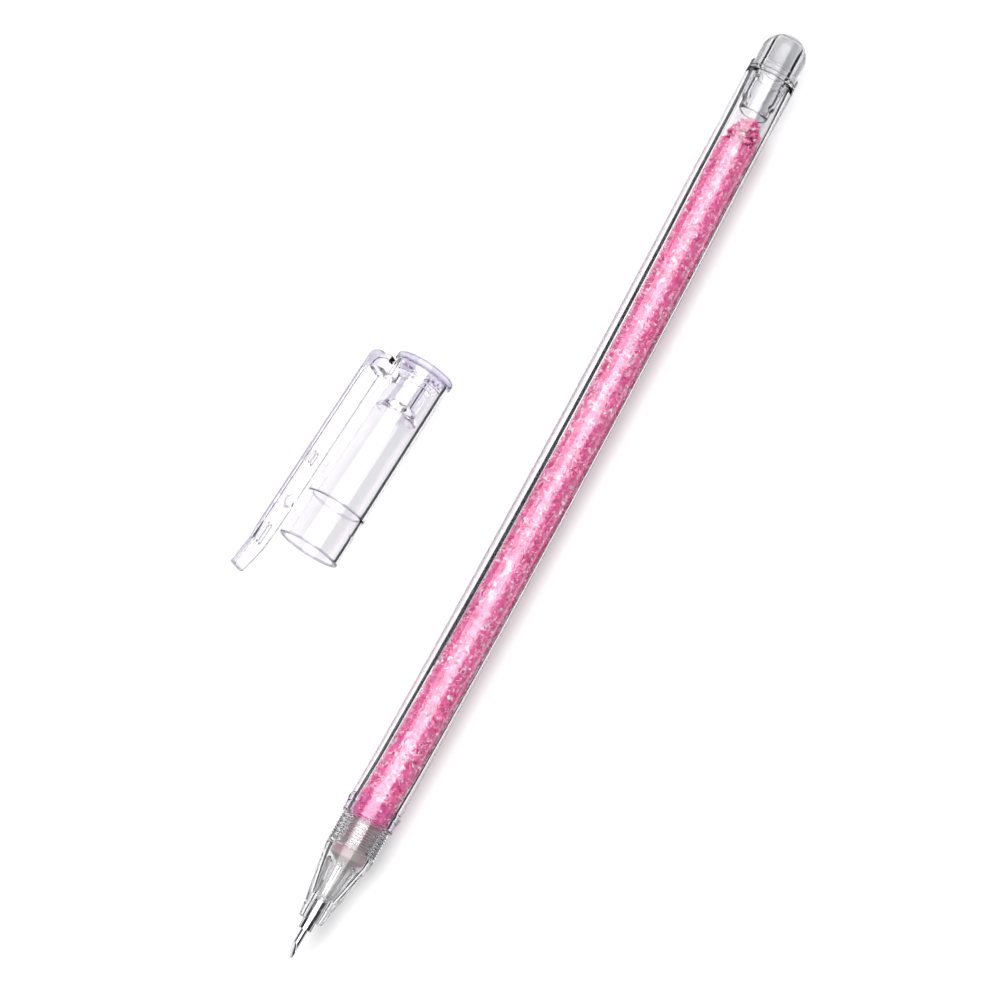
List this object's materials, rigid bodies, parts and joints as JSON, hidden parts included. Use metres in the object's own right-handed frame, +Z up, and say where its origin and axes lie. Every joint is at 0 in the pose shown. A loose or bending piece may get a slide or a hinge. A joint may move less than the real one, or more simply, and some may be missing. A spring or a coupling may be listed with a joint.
{
  "type": "gel pen",
  "caption": "Clear stick pen body packed with pink crystals, with a bevelled steel point, a screw-on nose cone, a domed tail plug and a loose clip cap lying beside it.",
  "frame": {"origin": "on the barrel's axis at the back of the bead that stops the cap", "axes": "+X along the barrel towards the domed tail, +Y towards the cap that lies beside the pen, +Z up from the table"},
  "size_m": [0.15, 0.0384, 0.0093],
  "materials": {
    "clear_tinted": "clear polystyrene with a faint violet tint",
    "clear_plain": "clear polystyrene",
    "clear_plug": "clear plastic, slightly grey",
    "clear_cap": "clear polystyrene with a faint violet tint",
    "violet_tint": "clear plastic, violet in its thickness",
    "milky_plastic": "translucent natural polypropylene",
    "pink_crystal": "crushed glossy pink crystals",
    "bright_metal": "bright nickel plate",
    "needle_steel": "ground stainless steel"
  },
  "bodies": {
    "pen": {"barrel": "clear_tinted", "crystal_fill": "pink_crystal", "tip_holder": "milky_plastic", "ferrule": "bright_metal", "needle": "needle_steel"},
    "nose": {"nose_cone": "clear_plain", "stray_crystals": "pink_crystal"},
    "plug": {"tail_plug": "clear_plug"},
    "cap": {"cap_shell": "clear_cap", "cap_end_plug": "violet_tint"},
    "clip": {"cap_clip": "clear_cap"}
  },
  "joints": [
    {"name": "nose_unscrew", "type": "slide", "parent": "pen", "child": "nose", "axis": [-1, 0, 0], "range_m": [0, 0.0043]},
    {"name": "tail_plug_pull", "type": "slide", "parent": "pen", "child": "plug", "axis": [1, 0, 0], "range_m": [0, 0.014]},
    {"name": "cap_carry", "type": "hinge", "parent": "pen", "child": "cap", "pos_m": [-0.00481, 0.01382, 0], "axis": [-0.0008, -0.0235, 0.9997], "range_deg": [0, 184.13]},
    {"name": "clip_flex", "type": "hinge", "parent": "cap", "child": "clip", "pos_m": [0.05703, 0.0274, -0.00074], "axis": [-0.0226, -0.3137, -0.9493], "range_deg": [0, 4], "stiffness_Nm_per_rad": 0.2}
  ]
}
